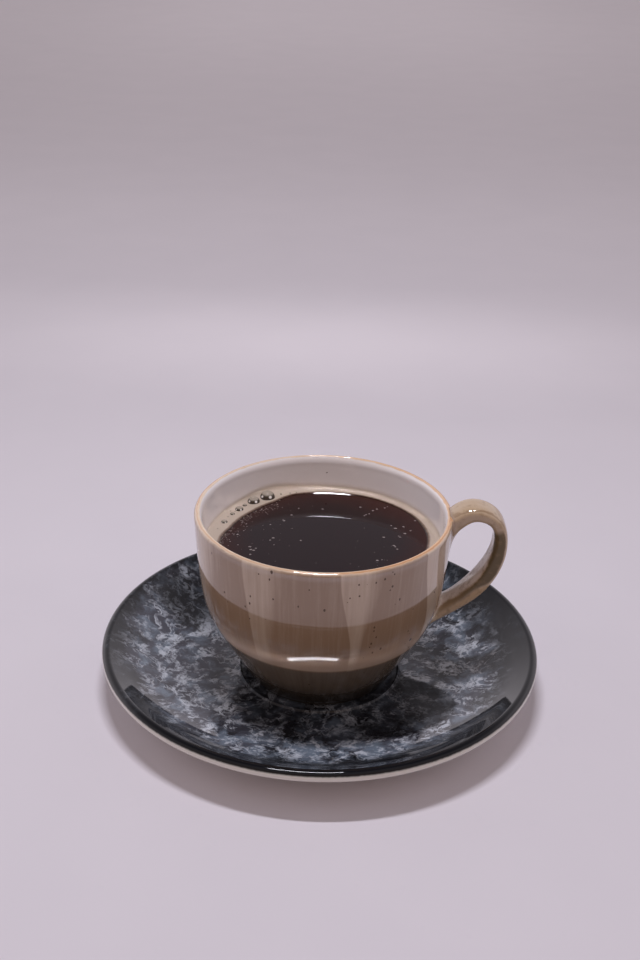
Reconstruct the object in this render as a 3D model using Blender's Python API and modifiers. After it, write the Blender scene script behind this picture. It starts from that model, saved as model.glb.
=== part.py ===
"""Cup of americano: a stoneware cup on a saucer, filled with black coffee.

Metres, +Z up. The origin is the centre of the circle that the saucer stands on.
The cup's handle points along +X.
"""
import math

import bmesh
import bpy
from mathutils import Vector

OBJECT_NAME = "cup_of_americano"

# Turning and spacing
TURN_STEPS = 60
CLEARANCE = 0.0003
MERGE_DISTANCE = 0.00001
EDGE_SPLIT_ANGLE = math.radians(40)

# Saucer
WELL_HEIGHT = 0.0047
BEAD_RADIUS = 0.0298
BEAD_HALF_WIDTH = 0.0009
BEAD_RISE = 0.0009
BEAD_SHOULDER_RISE = 0.75 * BEAD_RISE
DISH_START_RADIUS = 0.0416
DISH_ARC_RADIUS = 0.0559
DISH_SLOPE = math.radians(33.7)
LIP_RADIUS = 0.0020
LIP_CENTRE_RADIUS = 0.0785
LIP_CENTRE_HEIGHT = 0.0156
SAUCER_THICKNESS = 2 * LIP_RADIUS
FOOT_RING_OUTER = 0.0475
FOOT_RING_INNER = 0.0435
FOOT_RING_TAPER = 0.0004
FOOT_RING_CHAMFER = 0.0003
SAUCER_RECESS = 0.0012
DISH_SEGMENTS = 6
SAUCER_LIP_SEGMENTS = 7
UNDERSIDE_SEGMENTS = 4

# Cup
CUP_BASE = WELL_HEIGHT + CLEARANCE
CUP_FOOT_RADIUS = 0.0258
CUP_FOOT_INNER = 0.0226
CUP_FOOT_TOP = 0.0068
CUP_FOOT_RECESS = 0.0013
CUP_FOOT_CHAMFER = 0.0004
CUP_RIM_RADIUS = 0.0460
CUP_RIM_HEIGHT = 0.0711
CUP_LIP_THICKNESS = 0.0027
CUP_LIP_BASE = CUP_RIM_HEIGHT - CUP_LIP_THICKNESS / 2
CUP_OUTER_CURVE = [(0.0271, CUP_FOOT_TOP), (0.0425, 0.0352), (0.0440, 0.0287),
                   (CUP_RIM_RADIUS, CUP_LIP_BASE)]
CUP_INNER_FLOOR = 0.0107
CUP_INNER_CURVE = [(CUP_RIM_RADIUS - CUP_LIP_THICKNESS, CUP_LIP_BASE), (0.0408, 0.0307),
                   (0.0385, 0.0287), (0.0200, CUP_INNER_FLOOR)]
CUP_OUTER_SEGMENTS = 11
CUP_INNER_SEGMENTS = 9
CUP_LIP_SEGMENTS = 6

# Handle: (x, z, thickness) along the middle of the strap, from the rim to the lower joint
HANDLE_WIDTH = 0.0112
HANDLE_STRAP = [(0.0428, 0.0639, 0.0080), (0.0535, 0.0725, 0.0058), (0.0607, 0.0697, 0.0048),
                (0.0634, 0.0607, 0.0052), (0.0609, 0.0504, 0.0062), (0.0535, 0.0400, 0.0068),
                (0.0389, 0.0294, 0.0068)]
HANDLE_RESOLUTION = 4
HANDLE_BEVEL_RESOLUTION = 4
HANDLE_ROOT_DEPTH = 0.0014

# Coffee and the foam that floats round its edge
COFFEE_LEVEL = 0.0577
FOAM_THICKNESS = 0.0008
FOAM_INNER_RADIUS = 0.0384
FOAM_INNER_SWAY = 0.0010
FOAM_SWAY_ANGLE = math.radians(50)
CRESCENT_DEPTH = 0.0042
CRESCENT_ANGLE = math.radians(147)
CRESCENT_HALF_ANGLE = math.radians(34)
CRESCENT_SHARPNESS = 4


def clear_scene():
    """Remove every object that the file starts with."""
    for obj in list(bpy.data.objects):
        bpy.data.objects.remove(obj, do_unlink=True)


def new_collection(name):
    """Make a collection under the scene's own."""
    made = bpy.data.collections.new(name)
    bpy.context.scene.collection.children.link(made)
    return made


def principled(name, colour, roughness, metallic=0.0):
    """Make a plain Principled material from a linear RGB colour."""
    material = bpy.data.materials.new(name)
    material.use_nodes = True
    shader = material.node_tree.nodes["Principled BSDF"]
    shader.inputs["Base Color"].default_value = (*colour, 1.0)
    shader.inputs["Roughness"].default_value = roughness
    shader.inputs["Metallic"].default_value = metallic
    material.diffuse_color = (*colour, 1.0)
    return material


def tan_glaze():
    """Glossy brown-grey stoneware glaze of the cup."""
    return principled("tan_glaze", (0.205, 0.135, 0.090), 0.12)


def black_glaze():
    """Glossy blue-black glaze of the saucer."""
    return principled("black_glaze", (0.020, 0.024, 0.030), 0.10)


def black_coffee():
    """Dark brown coffee with a wet surface."""
    return principled("black_coffee", (0.016, 0.008, 0.005), 0.04)


def cream_foam():
    """Pale beige coffee foam."""
    return principled("cream_foam", (0.50, 0.40, 0.31), 0.45)


def bezier(controls, count):
    """Points (radius, height) along a cubic Bezier, both ends included."""
    points = []
    for step in range(count + 1):
        t = step / count
        weights = ((1 - t) ** 3, 3 * (1 - t) ** 2 * t, 3 * (1 - t) * t * t, t ** 3)
        points.append(tuple(sum(w * c[axis] for w, c in zip(weights, controls))
                            for axis in range(2)))
    return points


def arc(centre, radius, start, end, count):
    """Points (radius, height) on an arc; angles run from +radius towards +height."""
    points = []
    for step in range(count + 1):
        angle = start + (end - start) * step / count
        points.append((centre[0] + radius * math.cos(angle),
                       centre[1] + radius * math.sin(angle)))
    return points


def inset(points, distance):
    """Shift a profile that runs down its outer side towards the material."""
    moved = []
    for index, point in enumerate(points):
        before = Vector(points[max(index - 1, 0)])
        after = Vector(points[min(index + 1, len(points) - 1)])
        along = (after - before).normalized()
        moved.append((point[0] + along.y * distance, point[1] - along.x * distance))
    return moved


def turned(name, profile, material, collection):
    """Turn a profile about Z; it runs down the outer side and starts and ends on the axis."""
    mesh = bpy.data.meshes.new(name)
    vertices = [(radius, 0.0, height) for radius, height in profile]
    edges = [(index, index + 1) for index in range(len(profile) - 1)]
    mesh.from_pydata(vertices, edges, [])
    mesh.materials.append(material)
    obj = bpy.data.objects.new(name, mesh)
    collection.objects.link(obj)
    screw = obj.modifiers.new("turn", "SCREW")
    screw.axis = "Z"
    screw.steps = TURN_STEPS
    screw.render_steps = TURN_STEPS
    screw.use_smooth_shade = True
    screw.use_merge_vertices = True
    screw.merge_threshold = MERGE_DISTANCE
    return obj


def hide_cutter(obj):
    """Show a cutter as wire only and keep it out of renders."""
    obj.hide_render = True
    obj.display_type = "WIRE"


def smooth_by_angle(obj):
    """Shade a finished part smooth, with its tight edges kept crisp."""
    bpy.context.view_layer.update()
    graph = bpy.context.evaluated_depsgraph_get()
    mesh = bpy.data.meshes.new_from_object(obj.evaluated_get(graph))
    mesh.shade_smooth()
    mesh.set_sharp_from_angle(angle=EDGE_SPLIT_ANGLE)
    mesh.name = obj.name
    obj.modifiers.clear()
    obj.data = mesh


def add_boolean(obj, other, operation):
    """Union with, or difference of, another object."""
    modifier = obj.modifiers.new(other.name, "BOOLEAN")
    modifier.operation = operation
    modifier.object = other
    modifier.solver = "EXACT"


def curve_to_mesh(curve_object, material, collection):
    """Swap a curve object for a mesh object whose caps are welded."""
    bpy.context.view_layer.update()
    graph = bpy.context.evaluated_depsgraph_get()
    mesh = bpy.data.meshes.new_from_object(curve_object.evaluated_get(graph))
    welder = bmesh.new()
    welder.from_mesh(mesh)
    bmesh.ops.remove_doubles(welder, verts=welder.verts, dist=MERGE_DISTANCE)
    bmesh.ops.recalc_face_normals(welder, faces=welder.faces)
    welder.to_mesh(mesh)
    welder.free()
    mesh.materials.clear()
    mesh.materials.append(material)
    name = curve_object.name
    matrix = curve_object.matrix_world.copy()
    bpy.data.objects.remove(curve_object, do_unlink=True)
    obj = bpy.data.objects.new(name, mesh)
    obj.matrix_world = matrix
    collection.objects.link(obj)
    return obj


def saucer_profile():
    """Well with a raised bead, a dished side and a round lip, over a foot ring."""
    bead = [(BEAD_RADIUS - BEAD_HALF_WIDTH, WELL_HEIGHT),
            (BEAD_RADIUS - BEAD_HALF_WIDTH / 2, WELL_HEIGHT + BEAD_SHOULDER_RISE),
            (BEAD_RADIUS, WELL_HEIGHT + BEAD_RISE),
            (BEAD_RADIUS + BEAD_HALF_WIDTH / 2, WELL_HEIGHT + BEAD_SHOULDER_RISE),
            (BEAD_RADIUS + BEAD_HALF_WIDTH, WELL_HEIGHT)]
    arc_centre = (DISH_START_RADIUS, WELL_HEIGHT + DISH_ARC_RADIUS)
    dish = arc(arc_centre, DISH_ARC_RADIUS, -math.pi / 2, -math.pi / 2 + DISH_SLOPE,
               DISH_SEGMENTS)
    lip = arc((LIP_CENTRE_RADIUS, LIP_CENTRE_HEIGHT), LIP_RADIUS,
              math.pi / 2 + DISH_SLOPE, -math.pi / 2 + DISH_SLOPE, SAUCER_LIP_SEGMENTS)
    under_radius = DISH_ARC_RADIUS + SAUCER_THICKNESS
    under_start = math.asin((FOOT_RING_OUTER - DISH_START_RADIUS) / under_radius)
    under = arc(arc_centre, under_radius, -math.pi / 2 + DISH_SLOPE,
                -math.pi / 2 + under_start, UNDERSIDE_SEGMENTS)
    ring = [(FOOT_RING_OUTER - FOOT_RING_TAPER, FOOT_RING_CHAMFER),
            (FOOT_RING_OUTER - FOOT_RING_TAPER - FOOT_RING_CHAMFER, 0.0),
            (FOOT_RING_INNER + FOOT_RING_CHAMFER, 0.0),
            (FOOT_RING_INNER, FOOT_RING_CHAMFER),
            (FOOT_RING_INNER - FOOT_RING_TAPER, SAUCER_RECESS)]
    return ([(0.0, WELL_HEIGHT)] + bead + dish + lip + under + ring
            + [(0.0, SAUCER_RECESS)])


def cup_profile():
    """Shell of the cup: inner wall, round lip, outer wall and foot ring."""
    inner = bezier(CUP_INNER_CURVE, CUP_INNER_SEGMENTS)[::-1]
    lip_middle = CUP_RIM_RADIUS - CUP_LIP_THICKNESS / 2
    lip = arc((lip_middle, CUP_LIP_BASE), CUP_LIP_THICKNESS / 2, math.pi, 0.0,
              CUP_LIP_SEGMENTS)[1:-1]
    outer = bezier(CUP_OUTER_CURVE, CUP_OUTER_SEGMENTS)[::-1]
    foot = [(CUP_FOOT_RADIUS, CUP_FOOT_TOP),
            (CUP_FOOT_RADIUS, CUP_BASE + CUP_FOOT_CHAMFER),
            (CUP_FOOT_RADIUS - CUP_FOOT_CHAMFER, CUP_BASE),
            (CUP_FOOT_INNER, CUP_BASE),
            (CUP_FOOT_INNER - CUP_FOOT_CHAMFER, CUP_BASE + CUP_FOOT_RECESS)]
    return ([(0.0, CUP_INNER_FLOOR)] + inner + lip + outer + foot
            + [(0.0, CUP_BASE + CUP_FOOT_RECESS)])


def coffee_wall():
    """Side of the coffee: the cup's inner wall less the clearance, from the level down."""
    side = inset(bezier(CUP_INNER_CURVE, CUP_INNER_SEGMENTS), CLEARANCE)
    below = [point for point in side if point[1] < COFFEE_LEVEL]
    above = side[len(side) - len(below) - 1]
    share = (COFFEE_LEVEL - below[0][1]) / (above[1] - below[0][1])
    level_radius = below[0][0] + share * (above[0] - below[0][0])
    return [(level_radius, COFFEE_LEVEL)] + below


def coffee_profile():
    """Coffee from its level down to the cup's floor."""
    wall = coffee_wall()
    floor = CUP_INNER_FLOOR + CLEARANCE
    wall[-1] = (wall[-1][0], floor)
    return [(0.0, COFFEE_LEVEL)] + wall + [(0.0, floor)]


def foam_disc_profile():
    """Flat disc that the foam ring is cut from."""
    low = COFFEE_LEVEL + CLEARANCE
    radius = coffee_wall()[0][0]
    return [(0.0, low + FOAM_THICKNESS), (radius, low + FOAM_THICKNESS), (radius, low),
            (0.0, low)]


def foam_edge_radius(angle):
    """Radius of the foam's inner edge, which dips into a crescent on one side."""
    sway = FOAM_INNER_SWAY * math.cos(angle - FOAM_SWAY_ANGLE)
    offset = (angle - CRESCENT_ANGLE + math.pi) % (2 * math.pi) - math.pi
    dip = math.exp(-abs(offset / CRESCENT_HALF_ANGLE) ** CRESCENT_SHARPNESS)
    return FOAM_INNER_RADIUS + sway - CRESCENT_DEPTH * dip


def foam_opening(material, collection):
    """Upright block with the outline of the foam's inner edge."""
    outline = bpy.data.curves.new("foam_opening", "CURVE")
    outline.dimensions = "2D"
    outline.fill_mode = "BOTH"
    outline.extrude = 2 * FOAM_THICKNESS
    spline = outline.splines.new("POLY")
    spline.points.add(TURN_STEPS - 1)
    for step, point in enumerate(spline.points):
        angle = 2 * math.pi * step / TURN_STEPS
        radius = foam_edge_radius(angle)
        point.co = (radius * math.cos(angle), radius * math.sin(angle), 0.0, 1.0)
    spline.use_cyclic_u = True
    obj = bpy.data.objects.new("foam_opening", outline)
    obj.location.z = COFFEE_LEVEL + CLEARANCE + FOAM_THICKNESS / 2
    collection.objects.link(obj)
    return curve_to_mesh(obj, material, collection)


def handle_strap(material, collection):
    """Strap of the handle: a round wire swept along its path and widened along Y."""
    path = bpy.data.curves.new("handle_strap", "CURVE")
    path.dimensions = "3D"
    path.resolution_u = HANDLE_RESOLUTION
    path.bevel_resolution = HANDLE_BEVEL_RESOLUTION
    path.bevel_depth = 0.5 * HANDLE_STRAP[0][2]
    path.use_fill_caps = True
    spline = path.splines.new("BEZIER")
    spline.radius_interpolation = "CARDINAL"
    spline.bezier_points.add(len(HANDLE_STRAP) - 1)
    for point, (x, z, thickness) in zip(spline.bezier_points, HANDLE_STRAP):
        point.co = (x, 0.0, z)
        point.radius = thickness / HANDLE_STRAP[0][2]
        point.handle_left_type = "AUTO"
        point.handle_right_type = "AUTO"
    obj = bpy.data.objects.new("handle_strap", path)
    collection.objects.link(obj)
    strap = curve_to_mesh(obj, material, collection)
    for vertex in strap.data.vertices:
        local_thickness = nearest_thickness(vertex.co.x, vertex.co.z)
        vertex.co.y *= HANDLE_WIDTH / local_thickness
    return strap


def nearest_thickness(x, z):
    """Thickness of the strap at the place on its path that is nearest to (x, z)."""
    here = Vector((x, z))
    best = None
    for start, end in zip(HANDLE_STRAP, HANDLE_STRAP[1:]):
        begin = Vector(start[:2])
        along = Vector(end[:2]) - begin
        share = min(max((here - begin).dot(along) / along.length_squared, 0.0), 1.0)
        distance = (begin + share * along - here).length
        thickness = start[2] + share * (end[2] - start[2])
        if best is None or distance < best[0]:
            best = (distance, thickness)
    return best[1]


def build_saucer(parts):
    """Saucer, one piece."""
    smooth_by_angle(turned("saucer", saucer_profile(), black_glaze(), parts))


def build_cup(parts, cutters):
    """Cup and its handle, one piece."""
    glaze = tan_glaze()
    cup = turned("cup", cup_profile(), glaze, parts)
    mid_wall = inset(bezier(CUP_INNER_CURVE, CUP_INNER_SEGMENTS), -HANDLE_ROOT_DEPTH)
    core = turned("handle_root_core",
                  [(0.0, CUP_RIM_HEIGHT * 2), (mid_wall[0][0], CUP_RIM_HEIGHT * 2)]
                  + mid_wall + [(0.0, mid_wall[-1][1])], glaze, cutters)
    strap = handle_strap(glaze, cutters)
    add_boolean(strap, core, "DIFFERENCE")
    add_boolean(cup, strap, "UNION")
    smooth_by_angle(cup)
    hide_cutter(core)
    hide_cutter(strap)


def build_coffee(parts):
    """Coffee, one solid that fills the cup to its level."""
    smooth_by_angle(turned("coffee", coffee_profile(), black_coffee(), parts))


def build_foam(parts, cutters):
    """Thin ring of foam on the coffee, against the cup's wall."""
    cream = cream_foam()
    foam = turned("foam", foam_disc_profile(), cream, parts)
    opening = foam_opening(cream, cutters)
    add_boolean(foam, opening, "DIFFERENCE")
    smooth_by_angle(foam)
    hide_cutter(opening)


def main():
    clear_scene()
    parts = new_collection(OBJECT_NAME)
    cutters = new_collection("cutters")
    build_saucer(parts)
    build_cup(parts, cutters)
    build_coffee(parts)
    build_foam(parts, cutters)


main()
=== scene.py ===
"""Looks of the cup of americano: glazes, coffee, foam and studio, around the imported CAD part.

Metres, +Z up, in the CAD part's frame: the saucer stands on z = 0 and the handle points to +X.
"""
import math

import bpy
import numpy as np
from mathutils import Matrix, Vector


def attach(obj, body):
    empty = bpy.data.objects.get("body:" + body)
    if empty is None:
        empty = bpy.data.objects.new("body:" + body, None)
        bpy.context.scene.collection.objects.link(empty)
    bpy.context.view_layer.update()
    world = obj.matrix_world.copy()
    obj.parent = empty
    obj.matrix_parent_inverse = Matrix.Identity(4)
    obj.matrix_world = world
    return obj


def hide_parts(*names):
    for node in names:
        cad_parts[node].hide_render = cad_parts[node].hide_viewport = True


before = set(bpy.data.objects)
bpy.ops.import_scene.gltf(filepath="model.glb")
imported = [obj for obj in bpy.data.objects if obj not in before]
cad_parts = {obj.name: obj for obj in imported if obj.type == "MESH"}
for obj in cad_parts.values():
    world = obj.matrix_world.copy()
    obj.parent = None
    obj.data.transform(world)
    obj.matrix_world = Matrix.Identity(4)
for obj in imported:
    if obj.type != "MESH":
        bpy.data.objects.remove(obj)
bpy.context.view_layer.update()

MM = 0.001
UP = np.array([0.0, 0.0, 1.0])

# A turned outline has this many steps round the axis, and stops this far short of it
TURNS = 256
AXIS_GAP = 0.05 * MM

# -------------------- sizes, as in the CAD part
WELL_HEIGHT = 4.7 * MM
BEAD_RADIUS = 29.85 * MM
BEAD_HALF_WIDTH = 0.75 * MM
BEAD_RISE = 0.75 * MM
DISH_START_RADIUS = 41.6 * MM
DISH_ARC_RADIUS = 55.9 * MM
DISH_SLOPE = math.radians(33.7)
LIP_RADIUS = 2.0 * MM
LIP_CENTRE_RADIUS = 78.49 * MM
LIP_CENTRE_HEIGHT = 15.6 * MM
WHITE_BORDER_ANGLE = math.radians(34)
SAUCER_THICKNESS = 2 * LIP_RADIUS
FOOT_RING_OUTER = 47.5 * MM
FOOT_RING_INNER = 43.5 * MM
FOOT_RING_TAPER = 0.4 * MM
FOOT_RING_ROUNDING = 0.3 * MM
SAUCER_RECESS = 1.2 * MM

CUP_BASE = 5.0 * MM
CUP_FOOT_RADIUS = 25.8 * MM
CUP_FOOT_INNER = 22.6 * MM
CUP_FOOT_TOP = 6.8 * MM
CUP_FOOT_RECESS = 1.3 * MM
CUP_FOOT_ROUNDING = 0.4 * MM
CUP_RIM_RADIUS = 46.0 * MM
CUP_RIM_HEIGHT = 71.1 * MM
CUP_LIP_THICKNESS = 2.7 * MM
CUP_LIP_BASE = CUP_RIM_HEIGHT - CUP_LIP_THICKNESS / 2
# Finer than in the CAD part: the lip's rounding outside, its longer roll inside, and in that roll
# a narrow flat, which the coffee mirrors as a thin pale arc
CUP_LIP_ROUNDING = 1.5 * MM
CUP_LIP_FALL = 3.0 * MM
CUP_BEVEL = 0.28 * MM
CUP_BEVEL_TILT = math.radians(29.6)
CUP_OUTER_CURVE = [(27.1 * MM, CUP_FOOT_TOP), (42.5 * MM, 35.2 * MM), (44.0 * MM, 28.7 * MM),
                   (CUP_RIM_RADIUS, CUP_LIP_BASE)]
CUP_INNER_FLOOR = 10.7 * MM
CUP_FLOOR_RADIUS = 19.5 * MM
CUP_INNER_CURVE = [(CUP_RIM_RADIUS - CUP_LIP_THICKNESS, CUP_LIP_BASE), (40.8 * MM, 30.7 * MM),
                   (38.5 * MM, 28.7 * MM), (20.0 * MM, CUP_INNER_FLOOR)]

HANDLE_WIDTH = 11.2 * MM
HANDLE_STRAP = np.array([(42.8, 63.9, 8.0), (53.5, 72.45, 5.8), (60.7, 69.65, 4.8), (63.4, 60.7, 5.2),
                         (60.9, 50.4, 6.2), (53.5, 40.0, 6.8), (38.9, 29.4, 6.8)]) * MM
# Samples of the strap's path, rings along it, and points round each ring
STRAP_SAMPLES = 400
STRAP_RINGS = 130
STRAP_AROUND = 64
# Near its roots, over this length, the strap's rings turn into line with the wall
ROOT_LENGTH = 7 * MM
# Width in mm of the fillet between strap and wall: narrow by the rim, wider below it
FILLET_WIDTHS = (0.9, 4.8)
FILLET_HEIGHTS = (70.2 * MM, 64.7 * MM)

COFFEE_LEVEL = 57.7 * MM


# -------------------- mesh helpers
def smoothstep(low, high, value):
    """0 below low, 1 above high, smooth between; low may be above high."""
    t = np.clip((value - low) / (high - low), 0.0, 1.0)
    return t * t * (3.0 - 2.0 * t)


def bezier(controls, count):
    """(count + 1, 2) points along a cubic Bezier."""
    t = np.linspace(0.0, 1.0, count + 1)[:, None]
    a, b, c, d = (np.array(point) for point in controls)
    return (1 - t) ** 3 * a + 3 * (1 - t) ** 2 * t * b + 3 * (1 - t) * t * t * c + t ** 3 * d


def arc(centre, radius, start, end, count):
    """(count + 1, 2) points on an arc; angles run from +radius towards +height."""
    angle = np.linspace(start, end, count + 1)[:, None]
    return np.array(centre) + radius * np.hstack([np.cos(angle), np.sin(angle)])


def line(start, end, count):
    """(count + 1, 2) points on a straight line."""
    t = np.linspace(0.0, 1.0, count + 1)[:, None]
    return np.array(start) + t * (np.array(end) - np.array(start))


def path_length(points):
    """Distance along a path, from its first point to each point."""
    return np.concatenate([[0.0], np.cumsum(np.linalg.norm(np.diff(points, axis=0), axis=1))])


def grid_faces(rows, columns):
    """Quads of a grid of vertices stored row by row, its last column joined to its first."""
    row, column = np.meshgrid(np.arange(rows - 1), np.arange(columns), indexing="ij")
    after = (column + 1) % columns
    return np.stack([row * columns + column, row * columns + after, (row + 1) * columns + after,
                     (row + 1) * columns + column], -1).reshape(-1, 4)


def revolve(profile):
    """Vertices and quads of a profile (radius, height) turned about Z."""
    angle = np.arange(TURNS) * 2 * math.pi / TURNS
    radius, height = profile[:, 0][:, None], profile[:, 1][:, None]
    vertices = np.stack([radius * np.cos(angle), radius * np.sin(angle),
                         height + 0 * angle], -1).reshape(-1, 3)
    return vertices, grid_faces(len(profile), TURNS)


def make_object(name, vertices, faces, material, attributes=None):
    """One smooth mesh object, with float attributes by vertex."""
    mesh = bpy.data.meshes.new(name)
    mesh.from_pydata([tuple(v) for v in vertices], [], [tuple(f) for f in faces])
    for key, values in (attributes or {}).items():
        layer = mesh.attributes.new(key, "FLOAT", "POINT")
        layer.data.foreach_set("value", np.asarray(values, dtype=np.float32))
    mesh.materials.append(material)
    mesh.shade_smooth()
    obj = bpy.data.objects.new(name, mesh)
    bpy.context.scene.collection.objects.link(obj)
    return obj


def place(obj, node):
    """Let a piece stand for a CAD node, on the one body, and hide the node."""
    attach(obj, "root")
    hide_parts(node)
    return obj


# -------------------- shader helpers
class Graph:
    """Adds and joins the nodes of one shader tree."""

    def __init__(self, tree):
        self.tree = tree

    def node(self, kind, **settings):
        made = self.tree.nodes.new(kind)
        for key, value in settings.items():
            setattr(made, key, value)
        return made

    def feed(self, socket, value):
        if isinstance(value, bpy.types.NodeSocket):
            self.tree.links.new(value, socket)
        elif isinstance(value, (tuple, list)) and socket.type == "RGBA":
            socket.default_value = (*value, 1.0)
        else:
            socket.default_value = value

    def math(self, operation, a, b=0.0, clamp=False):
        made = self.node("ShaderNodeMath", operation=operation, use_clamp=clamp)
        self.feed(made.inputs[0], a)
        self.feed(made.inputs[1], b)
        return made.outputs[0]

    def times(self, first, *others):
        for other in others:
            first = self.math("MULTIPLY", first, other)
        return first

    def plus(self, a, b, clamp=False):
        return self.math("ADD", a, b, clamp)

    def minus(self, a, b):
        return self.math("SUBTRACT", a, b)

    def most(self, a, b):
        return self.math("MAXIMUM", a, b)

    def off(self, value, middle):
        """How far a value is from the middle, either way."""
        return self.math("ABSOLUTE", self.minus(value, middle))

    def vector(self, operation, a, b=(0.0, 0.0, 0.0), scale=None):
        made = self.node("ShaderNodeVectorMath", operation=operation)
        self.feed(made.inputs[0], a)
        if scale is None:
            self.feed(made.inputs[1], b)
        else:
            self.feed(made.inputs["Scale"], scale)
        return made.outputs["Value" if operation in ("LENGTH", "DISTANCE") else "Vector"]

    def step(self, value, low, high, to_low=0.0, to_high=1.0):
        """Smooth from to_low, at low, to to_high, at high; low may be above high."""
        made = self.node("ShaderNodeMapRange", interpolation_type="SMOOTHSTEP")
        for key, item in zip(("Value", "From Min", "From Max", "To Min", "To Max"),
                             (value, low, high, to_low, to_high)):
            self.feed(made.inputs[key], item)
        return made.outputs["Result"]

    def mix(self, factor, a, b):
        """a where factor is 0, b where it is 1."""
        made = self.node("ShaderNodeMix", data_type="RGBA")
        self.feed(made.inputs["Factor"], factor)
        self.feed(made.inputs[6], a)
        self.feed(made.inputs[7], b)
        return made.outputs[2]

    def noise(self, vector, scale, detail, roughness, output="Fac"):
        """Noise from 0 to 1; the scale is in waves a millimetre."""
        made = self.node("ShaderNodeTexNoise", normalize=True)
        self.feed(made.inputs["Vector"], vector)
        for key, value in (("Scale", scale), ("Detail", detail), ("Roughness", roughness)):
            made.inputs[key].default_value = value
        return made.outputs[output]

    def uneven(self, value, amount):
        """A noise from 0 to 1 made into one of this size about 0."""
        return self.times(self.minus(value, 0.5), amount)

    def combine(self, x, y, z):
        made = self.node("ShaderNodeCombineXYZ")
        for socket, value in zip(made.inputs, (x, y, z)):
            self.feed(socket, value)
        return made.outputs[0]

    def separate(self, vector):
        made = self.node("ShaderNodeSeparateXYZ")
        self.feed(made.inputs[0], vector)
        return made.outputs

    def attribute(self, name):
        return self.node("ShaderNodeAttribute", attribute_name=name).outputs["Fac"]

    def millimetres(self):
        """Object coordinates in millimetres."""
        coordinates = self.node("ShaderNodeTexCoord").outputs["Object"]
        return self.vector("SCALE", coordinates, scale=1.0 / MM)

    def bump(self, height, strength, distance):
        made = self.node("ShaderNodeBump")
        made.inputs["Strength"].default_value = strength
        made.inputs["Distance"].default_value = distance
        self.feed(made.inputs["Height"], height)
        return made.outputs["Normal"]


def new_material(name, **inputs):
    """A Principled material and the graph to build its colour in."""
    material = bpy.data.materials.new(name)
    material.use_nodes = True
    shader = material.node_tree.nodes["Principled BSDF"]
    graph = Graph(material.node_tree)
    for key, value in inputs.items():
        graph.feed(shader.inputs[key.replace("_", " ")], value)
    return material, graph, shader


# -------------------- saucer
MARBLE_CENTRE = (-2.5, 5.5, 0.0)
# Radius in mm of the painted shade round the cup's foot, where its shadow and dark reflection fall on the
# saucer, by angle in degrees
PAINTED_SHADE_EDGE = [(0, 29), (350, 32), (346, 41), (341, 50), (333, 55), (326, 56.5), (317, 56), (308, 53.5),
             (298, 50), (285, 47), (270, 46), (256, 46.5), (245, 45.5), (234, 44), (224, 41), (214, 36.5),
             (204, 32), (192, 29)]
# Patches with little marbling: (middle, bare within, marbled outside, least marbling), in mm
BARE_PATCHES = [((-50.0, 36.0, 0.0), 9.0, 19.0, 0.0), ((67.0, 29.0, 0.0), 8.0, 17.0, 0.12)]


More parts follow.
